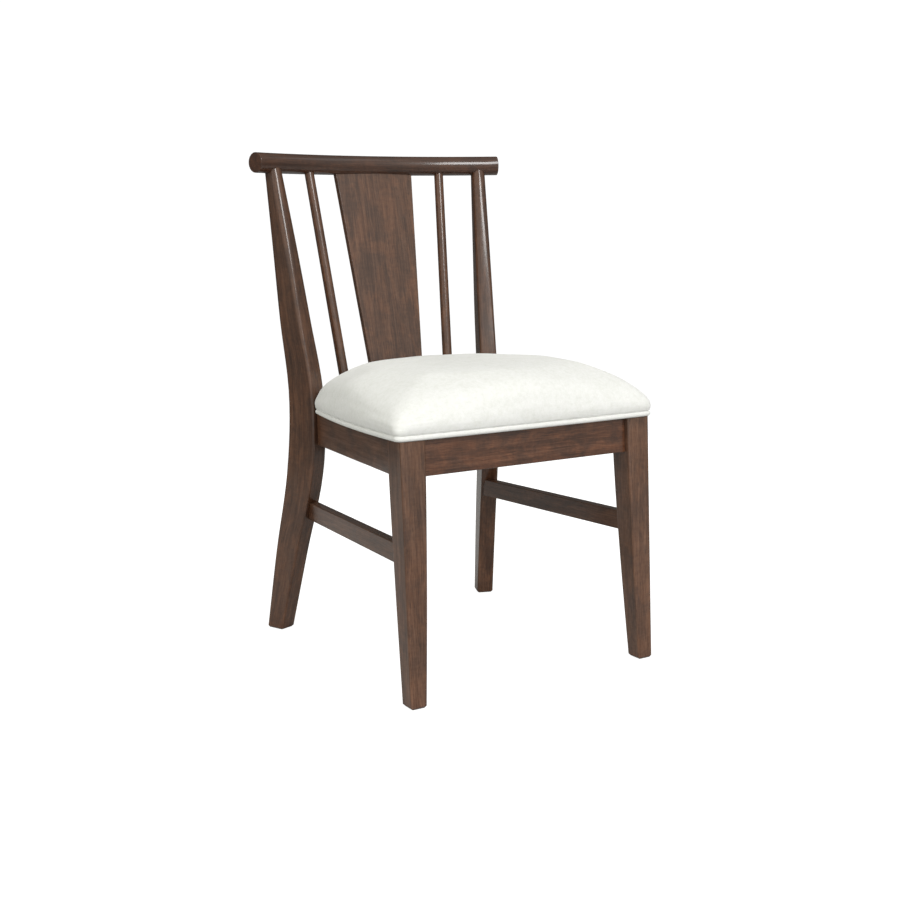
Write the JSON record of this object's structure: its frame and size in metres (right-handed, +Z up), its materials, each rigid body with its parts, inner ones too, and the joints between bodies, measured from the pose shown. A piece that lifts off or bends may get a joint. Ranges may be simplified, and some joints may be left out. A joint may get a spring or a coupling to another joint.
{
  "type": "dining chair",
  "caption": "Rigid wooden dining chair with a bowed round crest rail, round spindles, a flat splat, side stretchers and a padded fabric seat.",
  "frame": {"origin": "on the floor, at the middle of the chair's box in plan", "axes": "+Z up, the sitter faces -Y, +X to the sitter's left"},
  "size_m": [0.4932, 0.5451, 0.8458],
  "materials": {
    "stained_wood": "satin dark walnut stain, fine straight grain",
    "block_wood": "planed, unfinished",
    "dowel_wood": "turned, unfinished",
    "board_wood": "plywood, unfinished",
    "seat_fabric": "off-white short-pile weave, matte",
    "foam_filling": "open-cell foam",
    "dust_cloth": "thin black non-woven cloth",
    "screw_steel": "zinc plated"
  },
  "bodies": {
    "root": {"back_post_left": "stained_wood", "back_post_right": "stained_wood", "back_splat": "stained_wood", "corner_block_front_left": "block_wood", "corner_block_front_right": "block_wood", "corner_block_rear_left": "block_wood", "corner_block_rear_right": "block_wood", "crest_rail": "stained_wood", "dowel_front_rail_left_high": "dowel_wood", "dowel_front_rail_left_low": "dowel_wood", "dowel_front_rail_right_high": "dowel_wood", "dowel_front_rail_right_low": "dowel_wood", "dowel_rear_rail_left_high": "dowel_wood", "dowel_rear_rail_left_low": "dowel_wood", "dowel_rear_rail_right_high": "dowel_wood", "dowel_rear_rail_right_low": "dowel_wood", "dowel_side_seat_rail_left_back_high": "dowel_wood", "dowel_side_seat_rail_left_back_low": "dowel_wood", "dowel_side_seat_rail_left_front_high": "dowel_wood", "dowel_side_seat_rail_left_front_low": "dowel_wood", "dowel_side_seat_rail_right_back_high": "dowel_wood", "dowel_side_seat_rail_right_back_low": "dowel_wood", "dowel_side_seat_rail_right_front_high": "dowel_wood", "dowel_side_seat_rail_right_front_low": "dowel_wood", "dowel_side_stretcher_left_back_high": "dowel_wood", "dowel_side_stretcher_left_back_low": "dowel_wood", "dowel_side_stretcher_left_front_high": "dowel_wood", "dowel_side_stretcher_left_front_low": "dowel_wood", "dowel_side_stretcher_right_back_high": "dowel_wood", "dowel_side_stretcher_right_back_low": "dowel_wood", "dowel_side_stretcher_right_front_high": "dowel_wood", "dowel_side_stretcher_right_front_low": "dowel_wood", "dust_cover": "dust_cloth", "front_leg_left": "stained_wood", "front_leg_right": "stained_wood", "front_seat_rail": "stained_wood", "rear_seat_rail": "stained_wood", "screw_corner_block_front_left_front": "screw_steel", "screw_corner_block_front_left_side": "screw_steel", "screw_corner_block_front_right_front": "screw_steel", "screw_corner_block_front_right_side": "screw_steel", "screw_corner_block_rear_left_rear": "screw_steel", "screw_corner_block_rear_left_side": "screw_steel", "screw_corner_block_rear_right_rear": "screw_steel", "screw_corner_block_rear_right_side": "screw_steel", "seat_board": "board_wood", "seat_cover": "seat_fabric", "seat_foam": "foam_filling", "seat_piping": "seat_fabric", "seat_screw_front_left": "screw_steel", "seat_screw_front_right": "screw_steel", "seat_screw_rear_left": "screw_steel", "seat_screw_rear_right": "screw_steel", "side_seat_rail_left": "stained_wood", "side_seat_rail_right": "stained_wood", "side_stretcher_left": "stained_wood", "side_stretcher_right": "stained_wood", "spindle_left": "stained_wood", "spindle_right": "stained_wood"}
  },
  "joints": []
}
